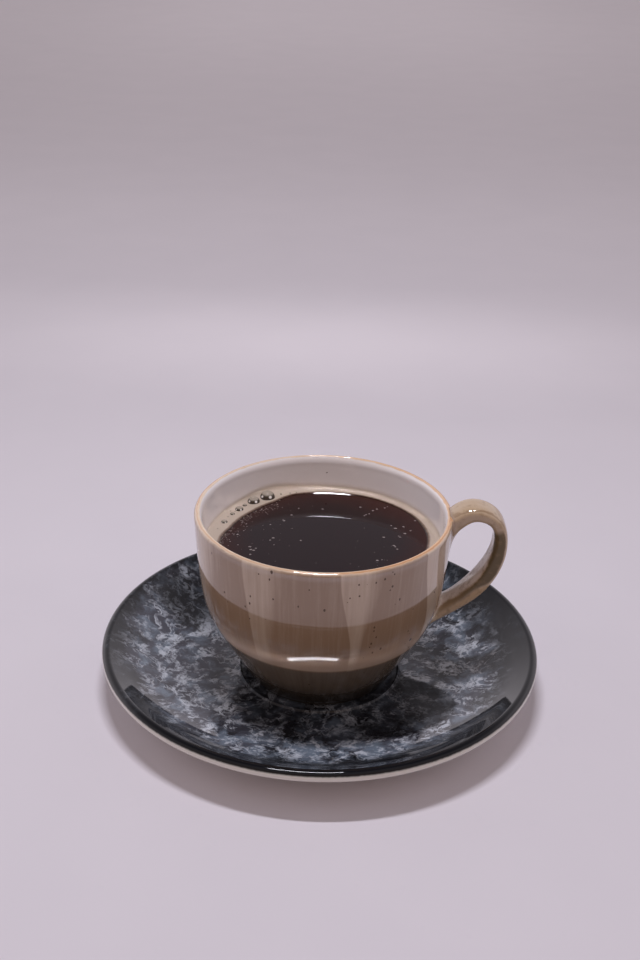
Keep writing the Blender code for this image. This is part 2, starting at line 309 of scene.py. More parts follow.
def saucer_material():
    """Black glaze with a blue-grey haze, clouds and white wisps, dimmed by painted shade round the cup's
    foot; white glaze outside the border.
    """
    material, g, shader = new_material("black_marbled_glaze", Roughness=0.035, IOR=1.6)
    where = g.millimetres()
    x, y, _ = g.separate(where)
    flat = g.combine(x, y, 0.0)

    def pushed_by(vector, scale, amount):
        push = g.vector("SUBTRACT", g.noise(flat, scale, 3.0, 0.55, "Color"), (0.5, 0.5, 0.5))
        return g.vector("ADD", vector, g.vector("SCALE", push, scale=amount))

    pushed = pushed_by(flat, 0.045, 20.0)
    wispy = pushed_by(pushed, 0.17, 6.5)

    def veins(offset, scale, sharpness):
        body = g.noise(g.vector("ADD", wispy, offset), scale, 4.0, 0.56)
        return g.step(g.off(body, 0.5), sharpness, 0.0)

    patchy = g.minus(g.noise(g.vector("ADD", flat, (31.0, 7.0, 3.0)), 0.075, 4.0, 0.62), 0.5)

    # Where the marbling lies: short of the lip, outside the painted shade round the cup's foot and the bare
    # patches
    spread = g.vector("DISTANCE", flat, MARBLE_CENTRE)
    edge = g.plus(spread, g.times(patchy, -26.0))
    outer = g.step(edge, 73.0, 64.0)
    reach = g.plus(g.times(outer, 0.80), g.step(edge, 81.0, 68.0, 0.0, 0.20))
    # Painted shade round the cup's foot, for its shadow and dark reflection: 0 inside it, 1 outside
    painted_shade_pool = g.step(g.plus(g.attribute("painted_shade_pool"), g.times(patchy, 3.0)), -0.6, 1.6)
    bare = 1.0
    for middle, near, far, least in BARE_PATCHES:
        away = g.plus(g.vector("DISTANCE", flat, middle), g.times(patchy, 14.0))
        bare = g.times(g.step(away, near, far, least), bare)
    density = g.times(reach, g.plus(g.times(painted_shade_pool, 0.94), 0.06), g.plus(g.times(bare, 0.8), 0.2))

    haze = g.plus(g.noise(pushed, 0.050, 3.0, 0.55), g.times(g.step(x, -14.0, -48.0), bare, 0.07))
    haze = g.times(g.step(haze, 0.34, 0.60, 0.08, 1.0), outer, bare, painted_shade_pool)
    cloud = g.plus(g.noise(wispy, 0.105, 6.0, 0.64), g.times(g.step(y, -40.0, -52.0), 0.07))
    cloud = g.times(g.step(cloud, 0.45, 0.66), density)
    gate = g.noise(g.vector("ADD", flat, (5.0, 23.0, 1.0)), 0.16, 5.0, 0.66)
    wisp = g.most(g.times(veins((11.0, 3.0, 5.0), 0.085, 0.050), 0.9),
                  g.times(veins((2.0, 17.0, 9.0), 0.190, 0.060), 0.6))
    wisp = g.times(wisp, g.step(gate, 0.42, 0.57, 0.03, 1.0), density)

    colour = g.mix(haze, (0.0080, 0.0080, 0.0100), (0.062, 0.063, 0.082))
    colour = g.mix(cloud, colour, (0.145, 0.180, 0.230))
    colour = g.mix(wisp, colour, (0.56, 0.60, 0.67))
    ragged = g.times(g.noise(where, 0.6, 2.0, 0.6), 0.3)
    white = g.step(g.plus(g.attribute("border"), ragged), 0.1, 0.95)
    g.feed(shader.inputs["Base Color"], g.mix(white, colour, (0.72, 0.695, 0.655)))
    front_lip = g.times(g.step(spread, 72.0, 76.0), g.step(y, -34.0, -62.0))
    # Gloss is weaker in the painted shade round the cup's foot, and on the lip's front
    g.feed(shader.inputs["Specular IOR Level"],
           g.times(g.step(painted_shade_pool, 0.0, 1.0, 0.14, 0.5), g.step(front_lip, 0.0, 1.0, 1.0, 0.40)))
    g.feed(shader.inputs["Normal"], g.bump(g.noise(where, 0.05, 1.0, 0.4), 0.10, 1.0 * MM))
    return material


def saucer_profile():
    """Closed outline from the middle of the well, over the lip, to the middle underneath."""
    bead_shape = np.linspace(-1.0, 1.0, 17)
    bead = np.stack([BEAD_RADIUS + BEAD_HALF_WIDTH * bead_shape,
                     WELL_HEIGHT + BEAD_RISE * np.cos(bead_shape * math.pi / 2) ** 2], -1)
    centre = (DISH_START_RADIUS, WELL_HEIGHT + DISH_ARC_RADIUS)
    dish = arc(centre, DISH_ARC_RADIUS, -math.pi / 2, -math.pi / 2 + DISH_SLOPE, 36)
    lip = arc((LIP_CENTRE_RADIUS, LIP_CENTRE_HEIGHT), LIP_RADIUS,
              math.pi / 2 + DISH_SLOPE, -math.pi / 2 + DISH_SLOPE, 36)
    under_radius = DISH_ARC_RADIUS + SAUCER_THICKNESS
    under_start = math.asin((FOOT_RING_OUTER - DISH_START_RADIUS) / under_radius)
    under = arc(centre, under_radius, -math.pi / 2 + DISH_SLOPE, -math.pi / 2 + under_start, 20)
    foot_outer = (FOOT_RING_OUTER - FOOT_RING_TAPER, FOOT_RING_ROUNDING)
    outer_corner = arc((foot_outer[0] - FOOT_RING_ROUNDING, FOOT_RING_ROUNDING),
                       FOOT_RING_ROUNDING, 0.0, -math.pi / 2, 5)
    inner_corner = arc((FOOT_RING_INNER + FOOT_RING_ROUNDING, FOOT_RING_ROUNDING),
                       FOOT_RING_ROUNDING, -math.pi / 2, -math.pi, 5)
    rise = line((FOOT_RING_INNER, FOOT_RING_ROUNDING + 0.1 * MM),
                (FOOT_RING_INNER - FOOT_RING_TAPER, SAUCER_RECESS - 0.2 * MM), 3)
    well = line((AXIS_GAP, WELL_HEIGHT), (BEAD_RADIUS - BEAD_HALF_WIDTH - 0.3 * MM, WELL_HEIGHT), 6)
    floor = line((BEAD_RADIUS + BEAD_HALF_WIDTH + 0.3 * MM, WELL_HEIGHT),
                 (DISH_START_RADIUS - 0.5 * MM, WELL_HEIGHT), 4)
    recess = line((FOOT_RING_INNER - FOOT_RING_TAPER - 0.4 * MM, SAUCER_RECESS),
                  (AXIS_GAP, SAUCER_RECESS), 6)
    return np.vstack([well, bead, floor, dish, lip, under, outer_corner, inner_corner, rise, recess])


def saucer_border(profile):
    """Distance past the black glaze's edge, in millimetres: above 0 is white glaze."""
    length = path_length(profile)
    crest = int(np.argmax(profile[:, 1]))
    at_border = length[crest] + (math.pi / 2 - WHITE_BORDER_ANGLE) * LIP_RADIUS
    return (length - at_border) / MM


def closed_table(table):
    """Angles in radians and values of a table of (degrees, value), repeated a turn either way."""
    rows = np.array(sorted((math.radians(degrees) % (2 * math.pi), value) for degrees, value in table))
    angles = [rows[:, 0] + turn for turn in (-2 * math.pi, 0.0, 2 * math.pi)]
    return np.concatenate(angles), np.tile(rows[:, 1], 3)


def build_saucer():
    """The saucer, turned in one piece."""
    profile = saucer_profile()
    vertices, faces = revolve(profile)
    angle = np.arctan2(vertices[:, 1], vertices[:, 0])
    # Painted shade round the cup's foot: how far each point lies past its edge, in mm, and none behind the
    # cup
    painted_shade_edge = np.interp(angle % (2 * math.pi), *closed_table(PAINTED_SHADE_EDGE))
    painted_shade_pool = np.hypot(vertices[:, 0], vertices[:, 1]) / MM - painted_shade_edge
    behind = smoothstep(10.0, 20.0, np.degrees(angle)) * smoothstep(182.0, 172.0, np.degrees(angle))
    painted_shade_pool = np.maximum(painted_shade_pool, 9.0 * behind)
    obj = make_object("saucer_glazed", vertices, faces[:, ::-1], saucer_material(),
                      {"border": np.repeat(saucer_border(profile), TURNS), "painted_shade_pool": painted_shade_pool})
    return place(obj, "saucer")


# -------------------- cup
# Light drips in the glaze: (angle at 70 mm, angle at 36 mm, width at 70 mm, width at 36 mm,
# lightness, softness of the first edge), in degrees
DRIPS = [(-82.5, -76.5, 19.0, 5.0, 0.75, 0.8), (-126.0, -122.0, 19.0, 10.0, 0.65, 1.0),
         (-40.0, -33.0, 30.0, 16.0, 0.95, 1.0), (-178.0, -172.0, 40.0, 20.0, 0.8, 3.0),
         (28.0, 34.0, 22.0, 8.0, 0.7, 1.0), (66.0, 71.0, 16.0, 9.0, 0.8, 1.5),
         (104.0, 108.0, 24.0, 7.0, 0.7, 1.0), (143.0, 147.0, 18.0, 9.0, 0.75, 1.2)]


def drip_light(g, angle, z):
    """How light the drips make the glaze, from 0 to 1."""
    fall = g.step(z, 70.0, 36.0)
    light = None
    for top, low, wide_top, wide_low, strength, softness in DRIPS:
        start = g.plus(g.times(fall, low - top), top)
        width = g.plus(g.times(fall, wide_low - wide_top), wide_top)
        along = g.minus(angle, start)
        share = g.math("DIVIDE", along, width)
        body = g.times(g.step(along, 0.0, softness), g.step(share, 1.1, 0.55), strength)
        light = body if light is None else g.most(light, body)
    return light


def strap_tones(g, outside, where, mottle, strap):
    """The handle's glaze over the wall's, with painted light on its outer part and inner face and painted
    shade on its side; and the mask of that painted shade.

    Along runs from 0 at the upper root to 1 at the lower one, across from -1 inside to 1 outside.
    """
    along = g.attribute("strap_along")
    across = g.plus(g.attribute("strap_side"), g.uneven(mottle, 0.35))
    gap = g.minus(across, g.step(along, 0.48, 0.66, -0.95, -0.70))
    past_stripe = g.minus(gap, g.step(along, 0.56, 0.72, 1.70, 0.50))
    # Painted light: the outer part of the lower arm, lighter as lit from the right
    pale = g.times(g.step(past_stripe, -0.08, 0.18), g.step(along, 0.56, 0.70), strap)
    # Painted shade on the strap's front side, out of the overhead lamp's light
    dark = g.times(g.step(across, 0.66, 0.42), g.step(gap, -0.08, 0.10), g.step(along, 0.33, 0.37),
                   g.step(along, 0.92, 0.64, 0.34, 1.0), g.step(past_stripe, 0.22, -0.25), strap)
    thread = g.times(g.step(g.off(across, 0.80), 0.12, 0.02), g.step(along, 0.42, 0.30), strap)
    # Painted light: the face towards the cup, near white, as lit by light from the cup's wall
    within = g.times(g.step(gap, 0.02, -0.16), g.step(along, 0.30, 0.42), strap)
    blotch = g.times(g.step(g.noise(where, 0.42, 4.0, 0.7), 0.50, 0.66), strap)
    for share, amount, tone in ((strap, 0.70, (0.465, 0.335, 0.205)), (pale, 0.80, (0.60, 0.45, 0.30)),
                                (dark, 0.92, (0.122, 0.090, 0.044)), (thread, 0.60, (0.22, 0.13, 0.060)),
                                (within, 0.85, (0.90, 0.84, 0.81)), (blotch, 0.40, (0.27, 0.18, 0.095))):
        outside = g.mix(g.times(share, amount), outside, tone)
    return outside, dark


def rim_tone(g, where, x, angle, lip, wander):
    """Cream glaze on the rim, orange towards the handle, with a rusty thread along it."""
    tone = g.mix(g.step(x, -30.0, 42.0), (0.82, 0.66, 0.50), (0.80, 0.50, 0.28))
    tone = g.mix(g.times(g.noise(where, 0.12, 2.0, 0.5), 0.6), tone, (0.62, 0.44, 0.29))
    thread = g.step(g.off(g.plus(lip, g.uneven(wander, 1.3)), 0.55), 0.42, 0.10)
    return g.mix(g.times(thread, g.step(angle, -120.0, -60.0, 0.40, 0.70)), tone, (0.56, 0.25, 0.10))


def cup_material():
    """Tan streaked glaze outside, orange where it thins over the rim, white inside; on the wall and handle,
    painted light and shade.
    """
    material, g, shader = new_material("tan_and_white_glaze", Roughness=0.03, IOR=1.7)
    where = g.millimetres()
    x, y, z = g.separate(where)
    angle = g.times(g.math("ARCTAN2", y, x), 180.0 / math.pi)
    lip, strap = g.attribute("lip"), g.attribute("strap")
    not_strap = g.minus(1.0, strap)

    # How light the tan glaze is: drips and streaks on the wall, mottling on the handle
    turn = g.times(angle, 0.8)
    broad = g.noise(g.combine(turn, g.times(z, 0.035), 0.0), 0.11, 3.0, 0.6)
    narrow = g.noise(g.combine(turn, g.times(z, 0.05), 7.0), 0.75, 3.0, 0.6)
    mottle = g.noise(where, 0.35, 3.0, 0.6)
    light = g.plus(g.plus(drip_light(g, angle, z), g.uneven(broad, 0.7)), g.uneven(narrow, 0.85))
    light = g.mix(strap, light, g.plus(g.uneven(mottle, 0.9), 0.9))
    light = g.plus(light, g.uneven(g.noise(where, 1.1, 3.0, 0.6), 0.12), clamp=True)

    # Painted reflection: the tan is lighter above about 46 to 58 mm, where the wall mirrors the bright table
    upper = g.step(z, 46.0, 58.0)
    outside = g.mix(light, g.mix(upper, (0.285, 0.190, 0.122), (0.320, 0.222, 0.156)),
                    g.mix(upper, (0.475, 0.370, 0.275), (0.590, 0.475, 0.380)))
    outside, dark = strap_tones(g, outside, where, mottle, strap)

    # The wall low down: painted light in a band where the saucer throws the lamp's light up onto it, then
    # painted shade below with the glaze's streaks, nearly black at the foot
    painted_light_band = g.times(g.step(z, 28.2, 29.4), g.step(z, 37.0, 30.5), not_strap)
    outside = g.mix(g.times(painted_light_band, 0.70), outside, (0.64, 0.49, 0.38))
    outside = g.mix(g.times(g.step(z, 29.2, 27.6), not_strap), outside,
                    g.mix(narrow, (0.130, 0.100, 0.074), (0.240, 0.187, 0.142)))
    outside = g.mix(g.step(z, 20.0, 9.0, 0.0, 0.9), outside, (0.020, 0.017, 0.015))

    inside = g.mix(g.attribute("stain"), (0.89, 0.85, 0.86), (0.52, 0.435, 0.345))
    wander = g.noise(where, 0.25, 3.0, 0.6)
    past_rim = g.plus(lip, g.uneven(wander, 0.9))
    colour = g.mix(g.step(past_rim, -0.9, -0.3), inside, rim_tone(g, where, x, angle, lip, wander))
    g.feed(shader.inputs["Base Color"], g.mix(g.step(past_rim, 0.75, 1.6), colour, outside))
    shine = g.times(g.step(g.off(lip, 0.0), 4.5, 2.5, 0.0, 0.5), not_strap)
    # Less gloss under the painted shade on the strap's side
    g.feed(shader.inputs["Specular IOR Level"], g.minus(g.plus(shine, 0.5), g.times(dark, 0.30)))
    g.feed(shader.inputs["Normal"], g.bump(g.noise(where, 0.07, 1.5, 0.4), 0.08, 1.0 * MM))
    return material


def lip_outline(inner_top):
    """From the inner wall's top point: a roll with a narrow flat in it, the crest and the outside."""
    crest = CUP_RIM_RADIUS - CUP_LIP_ROUNDING
    flat = CUP_BEVEL * np.array([math.sin(CUP_BEVEL_TILT), math.cos(CUP_BEVEL_TILT)])
    wide, high = np.array([crest - inner_top[0], CUP_RIM_HEIGHT - inner_top[1]]) - flat
    turn = math.atan(math.tan(CUP_BEVEL_TILT) * high / wide)
    below, above = np.linspace(0.0, turn, 10)[1:], np.linspace(turn, math.pi / 2, 10)
    low = np.stack([crest - flat[0] - wide * np.cos(below), inner_top[1] + high * np.sin(below)], -1)
    top = np.stack([crest - wide * np.cos(above), inner_top[1] + flat[1] + high * np.sin(above)], -1)
    quarter = np.linspace(0.0, math.pi / 2, 18)[1:-1]
    outside = np.stack([crest + CUP_LIP_ROUNDING * np.sin(quarter),
                        CUP_LIP_BASE + (CUP_RIM_HEIGHT - CUP_LIP_BASE) * np.cos(quarter)], -1)
    return np.vstack([low, low[-1] + np.outer([0.25, 0.5, 0.75], flat), top, outside])


def cup_outline():
    """Inner wall upwards, lip, outer wall downwards, foot, and back to the axis."""
    floor = line((AXIS_GAP, CUP_INNER_FLOOR), (CUP_FLOOR_RADIUS, CUP_INNER_FLOOR), 5)
    inner = bezier(CUP_INNER_CURVE, 120)[::-1]
    inner = inner[inner[:, 1] < CUP_RIM_HEIGHT - CUP_LIP_FALL]
    outer = bezier(CUP_OUTER_CURVE, 80)[::-1]
    neck = line((CUP_FOOT_RADIUS + 0.3 * MM, CUP_FOOT_TOP - 0.25 * MM),
                (CUP_FOOT_RADIUS, CUP_BASE + CUP_FOOT_ROUNDING), 3)
    corner = arc((CUP_FOOT_RADIUS - CUP_FOOT_ROUNDING, CUP_BASE + CUP_FOOT_ROUNDING),
                 CUP_FOOT_ROUNDING, 0.0, -math.pi / 2, 5)[1:]
    recess = line((CUP_FOOT_INNER - CUP_FOOT_ROUNDING, CUP_BASE + CUP_FOOT_RECESS),
                  (AXIS_GAP, CUP_BASE + CUP_FOOT_RECESS), 5)
    return np.vstack([floor, inner, lip_outline(inner[-1]), outer, neck, corner,
                      [(CUP_FOOT_INNER, CUP_BASE)], recess])


def film_top(angle):
    """Height to which the coffee's pale film climbs the wall, by angle."""
    def swell(middle, half_width, amount):
        offset = (angle - math.radians(middle) + math.pi) % (2 * math.pi) - math.pi
        return amount * MM * np.exp(-(offset / math.radians(half_width)) ** 2)
    return COFFEE_LEVEL + 1.2 * MM + swell(60, 60, 0.4) + swell(120, 16, 2.0) - swell(175, 28, 1.0)


def wall_radius(height):
    """Radius of the cup's inner wall at a height."""
    points = bezier(CUP_INNER_CURVE, 200)[::-1]
    return np.interp(height, points[:, 1], points[:, 0])


def natural_spline(knots, values, where):
    """Natural cubic spline through values at knots, read at where."""
    step = np.diff(knots)
    count = len(knots)
    system, right = np.zeros((count, count)), np.zeros((count, values.shape[1]))
    system[0, 0] = system[-1, -1] = 1.0
    for i in range(1, count - 1):
        system[i, i - 1:i + 2] = step[i - 1], 2 * (step[i - 1] + step[i]), step[i]
        right[i] = 6 * ((values[i + 1] - values[i]) / step[i] - (values[i] - values[i - 1]) / step[i - 1])
    bend = np.linalg.solve(system, right)
    k = np.clip(np.searchsorted(knots, where) - 1, 0, count - 2)
    h, a, b = step[k][:, None], (knots[k + 1] - where)[:, None], (where - knots[k])[:, None]
    return ((bend[k] * a ** 3 + bend[k + 1] * b ** 3) / (6 * h)
            + (values[k] / h - bend[k] * h / 6) * a + (values[k + 1] / h - bend[k + 1] * h / 6) * b)


class Handle:
    """The strap of the handle: its path, section and distance field."""

    def __init__(self):
        path = HANDLE_STRAP[:, :2]
        knots = path_length(path)
        where = np.linspace(0.0, knots[-1], STRAP_SAMPLES)
        self.centre = natural_spline(knots, path, where)
        self.half_thickness = natural_spline(knots, HANDLE_STRAP[:, 2:], where)[:, 0] / 2
        self.length = path_length(self.centre)
        tangent = np.gradient(self.centre, self.length, axis=0)
        tangent /= np.linalg.norm(tangent, axis=1)[:, None]
        self.normal = np.stack([-tangent[:, 1], tangent[:, 0]], -1)
        share = np.linspace(0.0, 1.0, STRAP_SAMPLES)
        self.squareness = 2.1 + 1.2 * smoothstep(0.03, 0.14, share) * smoothstep(0.86, 0.62, share)

    def nearest(self, flat, guess):
        """Index of the nearest sample of the path, looked for around a first guess."""
        offsets = np.arange(-48, 49, 4)
        for _ in range(2):
            tries = np.clip(guess[:, None] + offsets, 0, len(self.centre) - 1)
            gap = ((flat[:, None] - self.centre[tries]) ** 2).sum(-1)
            guess = tries[np.arange(len(flat)), gap.argmin(1)]
            offsets = np.arange(-4, 5)
        return guess

    def distance(self, points, guess):
        """About the distance to the strap's skin, below 0 inside."""
        flat = points[:, [0, 2]]
        nearest = self.nearest(flat, guess)
        offset = flat - self.centre[nearest]
        across = np.abs((offset * self.normal[nearest]).sum(1)) / self.half_thickness[nearest]
        beside = np.abs(points[:, 1]) / (HANDLE_WIDTH / 2)
        power = self.squareness[nearest]
        size = (across ** power + beside ** power) ** (1 / power) + 1e-9
        slope = np.sqrt((across ** (power - 1) / self.half_thickness[nearest]) ** 2
                        + (beside ** (power - 1) / (HANDLE_WIDTH / 2)) ** 2) / size ** (power - 1) + 1e-9
        return (size - 1) / slope


def wall_distance(points):
    """Distance to the cup's outer wall and lip, below 0 inside."""
    outline = bezier(CUP_OUTER_CURVE, 160)
    radius, height = np.hypot(points[:, 0], points[:, 1]), points[:, 2]
    reach = np.interp(height, outline[:, 1], outline[:, 0])
    lean = np.interp(height, outline[:, 1], np.gradient(outline[:, 0], outline[:, 1]))
    beside = (radius - reach) / np.sqrt(1 + lean ** 2)
    middle = CUP_RIM_RADIUS - CUP_LIP_THICKNESS / 2
    over = np.hypot(radius - middle, height - CUP_LIP_BASE) - CUP_LIP_THICKNESS / 2
    return np.where(height > CUP_LIP_BASE, over, beside)


def joined(points, handle, guess):
    """Distance field of the strap, the wall's skin and the fillet where they meet."""
    strap, wall = handle.distance(points, guess), wall_distance(points)
    narrow, wide = FILLET_WIDTHS
    width = (narrow + (wide - narrow) * smoothstep(*FILLET_HEIGHTS, points[:, 2])) * MM
    near = np.maximum(width - np.abs(strap - wall), 0.0) / width
    return np.maximum(np.minimum(strap, wall) - near ** 3 * width / 6.0, strap - width)


def handle_rings(handle):
    """Rings of points on the joined skin, from the upper root along the strap to the lower one."""
    middle = np.stack([handle.centre[:, 0], 0 * handle.centre[:, 0], handle.centre[:, 1]], -1)
    outside = np.nonzero(wall_distance(middle) > -0.9 * MM)[0]
    first, last = outside[0], outside[-1]
    # The rings lie closer together near both roots
    t = np.linspace(0.0, 1.0, STRAP_RINGS)
    t = t - 0.06 * np.sin(2 * math.pi * t)
    where = handle.length[first] + (handle.length[last] - handle.length[first]) * t
    index = np.clip(np.searchsorted(handle.length, where), 0, len(handle.length) - 1)
    turn = np.arange(STRAP_AROUND) * 2 * math.pi / STRAP_AROUND
    centre, normal = handle.centre[index], handle.normal[index]
    across = handle.half_thickness[index][:, None] * np.cos(turn)
    beside = HANDLE_WIDTH / 2 * np.sin(turn) + 0 * across
    length = np.hypot(across, beside)
    at_start = smoothstep(ROOT_LENGTH, 0.0, handle.length[index] - handle.length[first])[:, None]
    at_end = smoothstep(ROOT_LENGTH, 0.0, handle.length[last] - handle.length[index])[:, None]
    upright = normal * (1 - at_start - at_end) + np.array([0.0, 1.0]) * (at_start - at_end)
    upright /= np.linalg.norm(upright, axis=1)[:, None]
    lean = 0.06 * (at_end - at_start)
    direction = np.stack([across / length * upright[:, :1] + lean, beside / length,
                          across / length * upright[:, 1:] + 0 * lean], -1)
    direction /= np.linalg.norm(direction, axis=-1, keepdims=True)
    start = np.stack([centre[:, :1] + 0 * turn, 0 * across, centre[:, 1:] + 0 * turn], -1)
    start, direction = start.reshape(-1, 3), direction.reshape(-1, 3)
    guess = np.repeat(index, STRAP_AROUND)
    # Each point moves outwards from the strap's middle until it meets the joined skin
    reach = np.zeros(len(start))
    for _ in range(60):
        value = joined(start + reach[:, None] * direction, handle, guess)
        reach = np.clip(reach - 0.8 * np.clip(value, -0.4 * MM, 0.4 * MM), 0.0, 14 * MM)
    skin = start + reach[:, None] * direction
    # Points on the wall's skin sink a little into it, so that the strap's mesh shows no edge
    sunk = 0.16 * MM * smoothstep(0.14 * MM, 0.02 * MM, wall_distance(skin))
    skin[:, :2] *= 1 - (sunk / np.hypot(skin[:, 0], skin[:, 1]))[:, None]
    return skin, guess


def build_cup():
    """The cup and its handle, in one mesh with a smooth joint."""
    outline = cup_outline()
    vertices, faces = revolve(outline)
    length = path_length(outline)
    crest = int(np.argmax(outline[:, 1]))
    # Millimetres past the crest of the lip: below 0 inside the cup, above 0 outside
    lip = (length - length[crest]) / MM
    angle = np.arctan2(vertices[:, 1], vertices[:, 0])
    stain = 0.75 * smoothstep(film_top(angle) + 1.4 * MM, film_top(angle) - 0.6 * MM, vertices[:, 2])
    stain *= np.repeat(length < length[crest], TURNS)

    handle = Handle()
    rings, guess = handle_rings(handle)
    strap_faces = grid_faces(STRAP_RINGS, STRAP_AROUND) + len(vertices)
    strap_lip = (4.0 * np.maximum(wall_distance(rings), 0.0)
                 + np.abs(CUP_RIM_HEIGHT - rings[:, 2])) / MM
    along = handle.length[guess] / handle.length[-1]
    side = ((rings[:, [0, 2]] - handle.centre[guess]) * handle.normal[guess]).sum(1)
    side /= handle.half_thickness[guess]
    strap = smoothstep(0.3 * MM, 1.5 * MM, wall_distance(rings))
    on_wall = np.zeros(len(vertices))
    attributes = {"lip": np.concatenate([np.repeat(lip, TURNS), strap_lip]),
                  "stain": np.concatenate([stain, np.zeros(len(rings))])}
    for key, values in (("strap", strap), ("strap_along", along), ("strap_side", side)):
        attributes[key] = np.concatenate([on_wall, values])
    obj = make_object("cup_glazed", np.vstack([vertices, rings]),
                      np.vstack([faces[:, ::-1], strap_faces]), cup_material(), attributes)
    return place(obj, "cup")


def disc_normal_frame(normal):
    """Two directions square to a unit normal."""
    helper = UP if abs(normal[2]) < 0.9 else np.array([1.0, 0.0, 0.0])
    side = np.cross(helper, normal)
    side /= np.linalg.norm(side)
    return side, np.cross(normal, side)


def domes(spots, rings=3, around=10):
    """Vertices, quads and rim values of low domes; a spot is (centre, normal, radius, height, stretch)."""
    vertices, faces, rim = [], [], []
    for centre, normal, radius, height, stretch in spots:
        side, up = disc_normal_frame(normal)
        base = len(vertices)
        for ring in range(rings + 1):
            lift = math.pi / 2 * ring / rings
            # The crown is a tiny ring, not a point
            out = radius * max(math.cos(lift), 0.02)
            for step in range(around):
                turn = 2 * math.pi * step / around
                vertices.append(centre + out * (math.cos(turn) * side + stretch * math.sin(turn) * up)
                                + height * math.sin(lift) * normal)
                rim.append(1.0 - ring / rings)
        faces.append(grid_faces(rings + 1, around) + base)
    return np.array(vertices), np.vstack(faces), rim


# Dark speckles in the glaze, seen on the front: (angle, height in mm, size in mm)
SPECKLES = [(-111, 69.7, .45), (-112, 66.7, .3), (-117, 67.7, .3), (-110.5, 59.2, .35), (-99.5, 58, .3),
            (-95, 65, .25), (-88.5, 57.2, .4), (-121.5, 57.7, .3), (-122, 54.7, .35), (-124.5, 52.7, .3),
            (-145, 66.7, .3), (-137, 54.2, .35), (-74.5, 66.7, .3), (-74, 62.2, .35), (-78, 61.7, .25),
            (-67, 66.5, .3), (-63, 67.2, .35), (-58.5, 68.2, .3), (-59.5, 69.2, .25), (-59, 63.5, .4),
            (-60, 62.2, .3), (-54.5, 57.2, .35), (-66, 48.2, .35), (-66, 46.7, .3), (-64.5, 43.7, .3),
            (-66.5, 41.2, .35), (-67, 39.7, .25), (-61, 37.7, .4), (-65, 36.7, .3), (-122.5, 48.2, .25),
            (-46, 41.2, .35), (-42, 35.7, .55), (-40, 31.2, .35), (-95.5, 19.7, .35)]


def build_speckles():
    """Iron speckles, a little proud of the glaze: all round the cup, and one inside at the back."""
    chance = np.random.default_rng(7)
    outline = bezier(CUP_OUTER_CURVE, 200)
    slope = np.gradient(outline[:, 0], outline[:, 1])
    # Scattered ones keep clear of the handle
    around = [(angle, height, size) for angle, height, size in
              zip(chance.uniform(-30, 205, 70), chance.uniform(12, 69.5, 70), chance.uniform(0.15, 0.42, 70))
              if abs((angle + 180) % 360 - 180) > 12 or height > 69 or height < 22]
    faint = list(zip(chance.uniform(-165, -15, 26), chance.uniform(14, 69.5, 26),
                     chance.uniform(0.10, 0.20, 26)))
    spots = []
    for angle, height, size in SPECKLES + around + faint:
        radius = np.interp(height * MM, outline[:, 1], outline[:, 0])
        lean = np.interp(height * MM, outline[:, 1], slope)
        turn = math.radians(angle)
        outward = np.array([math.cos(turn), math.sin(turn), -lean]) / math.hypot(1.0, lean)
        centre = np.array([radius * math.cos(turn), radius * math.sin(turn), height * MM])
        spots.append((centre - 0.02 * MM * outward, outward, 1.08 * size * MM, 0.045 * MM,
                      chance.uniform(1.0, 1.7)))
    back, back_height = np.array([0.017, 1.0, 0.0]), 64.3 * MM
    spots.append((back * (float(wall_radius(back_height)) + 0.02 * MM) + back_height * UP,
                  -back, 0.42 * MM, 0.03 * MM, 1.1))
    vertices, faces, _ = domes(spots)
    material, g, shader = new_material("iron_speckle", Roughness=0.12, IOR=1.5)
    grain = g.noise(g.millimetres(), 2.5, 3.0, 0.6)
    g.feed(shader.inputs["Base Color"], g.mix(grain, (0.040, 0.023, 0.014), (0.150, 0.092, 0.056)))
    return place(make_object("glaze_speckles", vertices, faces, material), "cup")


# -------------------- coffee and foam
def coffee_material():
    """Black coffee, a little redder near the wall."""
    material, g, shader = new_material("black_coffee", Roughness=0.015, IOR=1.31)
    where = g.millimetres()
    x, y, _ = g.separate(where)
    radius = g.vector("LENGTH", g.combine(x, y, 0.0))
    drift = g.uneven(g.noise(where, 0.08, 3.0, 0.55), 10.0)
    near_wall = g.step(g.plus(radius, drift), 24.0, 40.0)
    g.feed(shader.inputs["Base Color"],
           g.mix(near_wall, (0.0125, 0.0048, 0.0060), (0.030, 0.0040, 0.0020)))
    return material


def build_coffee():
    """The coffee: a level surface, and a body that reaches just into the cup's wall."""
    reach = float(wall_radius(COFFEE_LEVEL)) + 0.15 * MM
    surface = line((AXIS_GAP, COFFEE_LEVEL), (reach, COFFEE_LEVEL), 40)
    side = bezier(CUP_INNER_CURVE, 60)
    side = side[side[:, 1] < COFFEE_LEVEL - 0.3 * MM] + np.array([0.12 * MM, 0.0])
    bottom = line((19.0 * MM, CUP_INNER_FLOOR - 0.1 * MM), (AXIS_GAP, CUP_INNER_FLOOR - 0.1 * MM), 3)
    vertices, faces = revolve(np.vstack([surface, side, bottom]))
    return place(make_object("coffee_drink", vertices, faces[:, ::-1], coffee_material()), "coffee")


# Radius in mm of the foam's inner edge, by angle in degrees
FOAM_EDGE = [(-175, 36.9), (177, 36.3), (168, 34.9), (156, 34.3), (143, 34.0), (129, 34.6), (119, 35.6),
             (111, 37.5), (103, 38.1), (93, 38.3), (76, 39.0), (61, 39.6), (49, 39.6), (36, 39.6),
             (20, 38.9), (8, 38.1), (-2, 37.1), (-30, 37.6), (-60, 38.4), (-95, 38.8), (-130, 38.4),
             (-155, 37.6)]


def foam_edge(angle):
    """Radius of the foam's inner edge, in metres."""
    knots, values = closed_table(FOAM_EDGE)
    return natural_spline(knots, values[:, None], angle)[:, 0] * MM


